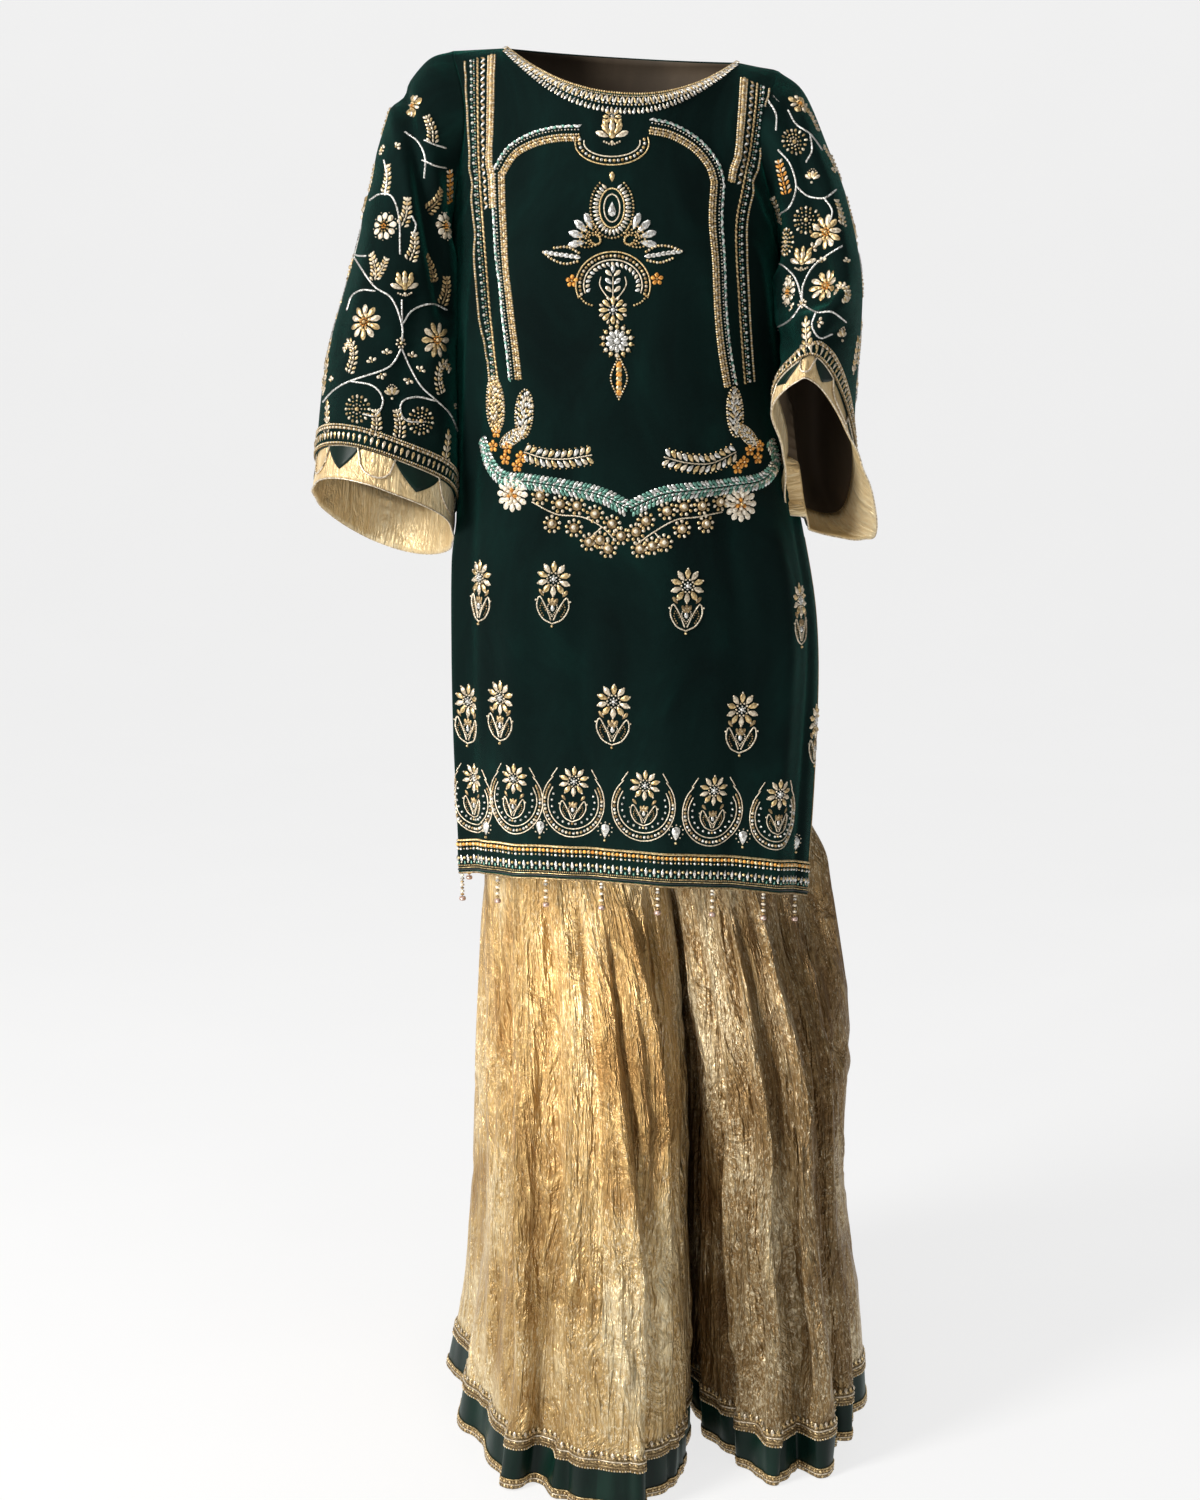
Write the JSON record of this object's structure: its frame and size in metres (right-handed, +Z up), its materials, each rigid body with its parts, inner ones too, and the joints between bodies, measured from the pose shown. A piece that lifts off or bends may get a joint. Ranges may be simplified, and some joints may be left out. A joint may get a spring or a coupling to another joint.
{
  "type": "salwar suit",
  "caption": "Worn salwar suit: knee-length velvet tunic with bell sleeves, side slits and bead tassels, over very wide tissue trousers with banded hems. Open neck, cuffs and hems.",
  "frame": {"origin": "middle of the shoulder line, between the two shoulder seams, where a wearer or a hanger holds the suit up", "axes": "+Z up, the front faces -Y, +X towards the wearer's left"},
  "size_m": [0.601, 0.5286, 1.4715],
  "materials": {
    "velvet": "dark bottle-green velvet with a soft sheen",
    "tissue": "crushed gold tissue with a metallic glint",
    "satin": "dark green satin",
    "beads": "gold and silver beadwork",
    "lace": "metallic gold lace"
  },
  "bodies": {
    "root": {"kameez_front": "velvet", "kameez_back": "velvet", "sleeve_right": "velvet", "sleeve_left": "velvet", "cuff_facing_right": "tissue", "cuff_facing_left": "tissue", "cuff_band_right": "beads", "cuff_band_left": "beads", "cuff_edging_right": "satin", "cuff_edging_left": "satin", "neck_band": "beads", "hem_border_front": "beads", "hem_border_back": "beads", "tassels_front": "beads", "tassels_back": "beads", "trouser_waistband": "tissue", "trouser_yoke": "tissue", "leg_right": "tissue", "leg_left": "tissue", "satin_hem_right": "satin", "satin_hem_left": "satin", "lace_upper_right": "lace", "lace_upper_left": "lace", "lace_lower_right": "lace", "lace_lower_left": "lace"}
  },
  "joints": []
}
